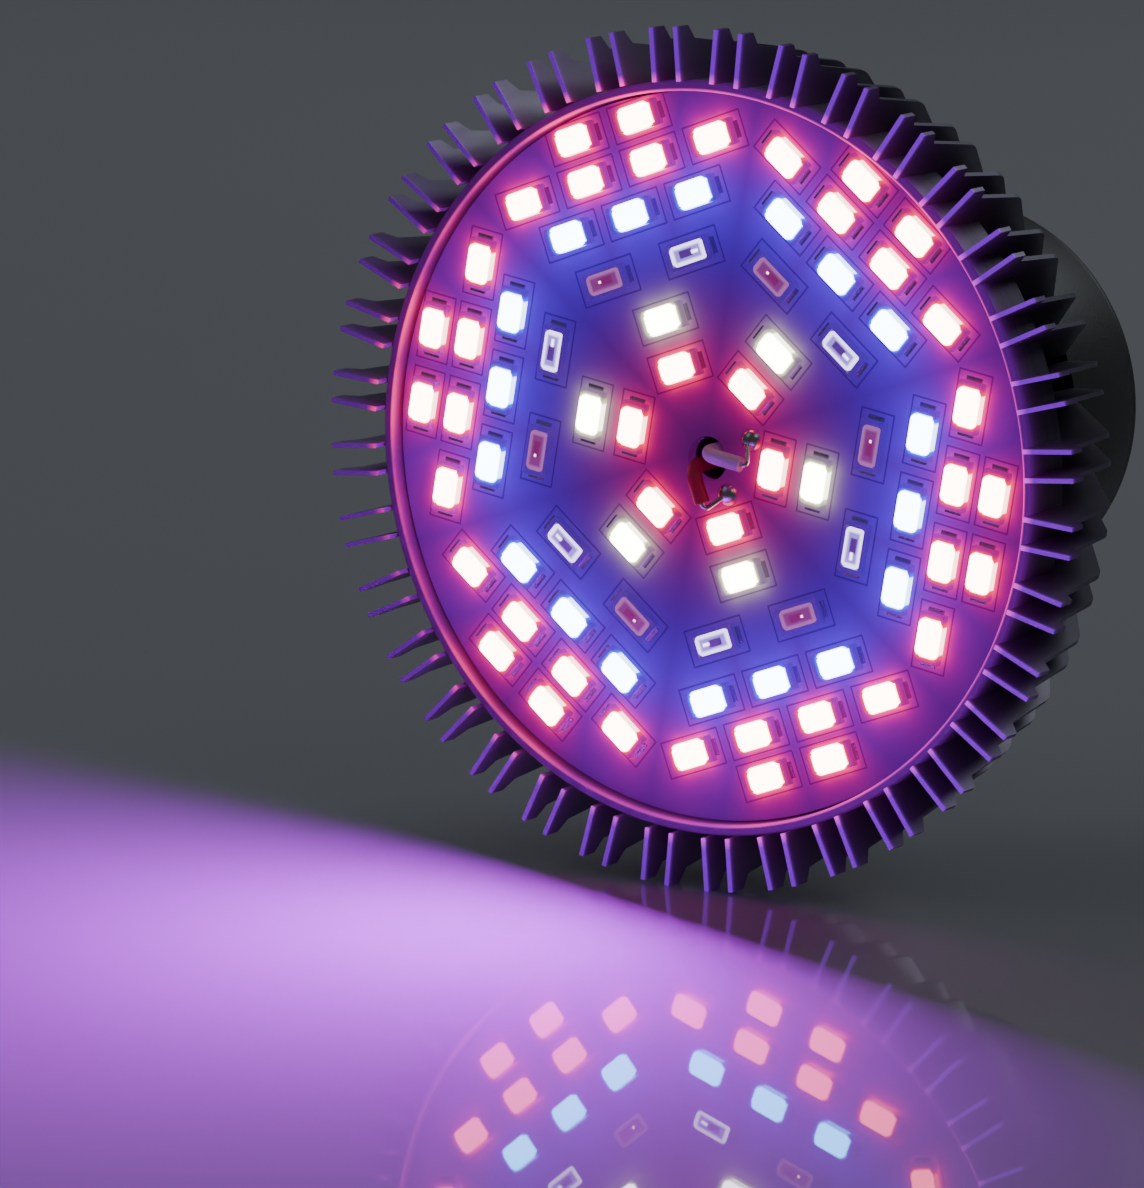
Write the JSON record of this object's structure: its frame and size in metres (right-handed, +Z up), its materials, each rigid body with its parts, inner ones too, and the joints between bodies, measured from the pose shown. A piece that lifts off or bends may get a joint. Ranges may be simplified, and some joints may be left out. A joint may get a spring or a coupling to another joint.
{
  "type": "led grow light",
  "caption": "Screw-in LED grow bulb: round board of red, blue and white LEDs in a ring of folded sheet fins, with a driver neck and a screw base.",
  "frame": {"origin": "on the bulb's axis, where the screw shell meets the neck's end collar", "axes": "+Y along the axis from the LED face to the screw base's tip, +Z up, +X to the right seen from in front of the LED face"},
  "size_m": [0.0952, 0.0853, 0.0952],
  "materials": {
    "cup": "turned, lightly satin",
    "fins": "plain rolled sheet, unpainted",
    "solder_mask": "white solder mask on an aluminium board",
    "thermal_pad": "soft silicone",
    "led_body": "moulded white resin",
    "solder": "bright tin solder",
    "red_light": "lit silicone window",
    "blue_light": "lit silicone window",
    "white_light": "lit phosphor window",
    "violet_window": "clear window, faint violet glow",
    "dark_red_window": "clear window, faint red glow",
    "red_insulation": "soft lead insulation",
    "white_insulation": "soft lead insulation",
    "black_plastic": "fine moulded texture",
    "screw_steel": "zinc plated",
    "circuit_board": "phenolic board with green mask",
    "ferrite": "dull ferrite",
    "capacitor_sleeve": "shrink sleeve",
    "chip_resin": "moulded resin",
    "resistor_body": "painted ceramic",
    "nickel": "nickel plate, slightly dull",
    "black_glass": "smooth black glass",
    "contact_metal": "tinned brass",
    "lead_insulation": "soft lead insulation"
  },
  "bodies": {
    "root": {"base_insulator": "black_glass", "blue_windows": "blue_light", "centre_contact": "contact_metal", "driver_board": "circuit_board", "driver_capacitors": "capacitor_sleeve", "driver_chips": "chip_resin", "driver_transformer": "ferrite", "fin_01": "fins", "fin_02": "fins", "fin_03": "fins", "fin_04": "fins", "fin_05": "fins", "fin_06": "fins", "fin_07": "fins", "fin_08": "fins", "fin_09": "fins", "fin_10": "fins", "fin_11": "fins", "fin_12": "fins", "fin_13": "fins", "fin_14": "fins", "fin_15": "fins", "fin_16": "fins", "fin_17": "fins", "fin_18": "fins", "fin_19": "fins", "fin_20": "fins", "fin_21": "fins", "fin_22": "fins", "fin_23": "fins", "fin_24": "fins", "fin_25": "fins", "fin_26": "fins", "fin_27": "fins", "fin_28": "fins", "fin_29": "fins", "fin_30": "fins", "fin_31": "fins", "fin_32": "fins", "fin_33": "fins", "fin_34": "fins", "fin_35": "fins", "fin_36": "fins", "fuse_resistor": "resistor_body", "heatsink_core": "cup", "infrared_windows": "dark_red_window", "input_leads": "lead_insulation", "led_board": "solder_mask", "led_housings": "led_body", "led_terminals": "solder", "neck_housing": "black_plastic", "neck_screws": "screw_steel", "negative_lead": "white_insulation", "positive_lead": "red_insulation", "red_windows": "red_light", "screw_shell": "nickel", "solder_joints": "solder", "thermal_pad": "thermal_pad", "ultraviolet_windows": "violet_window", "white_windows": "white_light"}
  },
  "joints": []
}
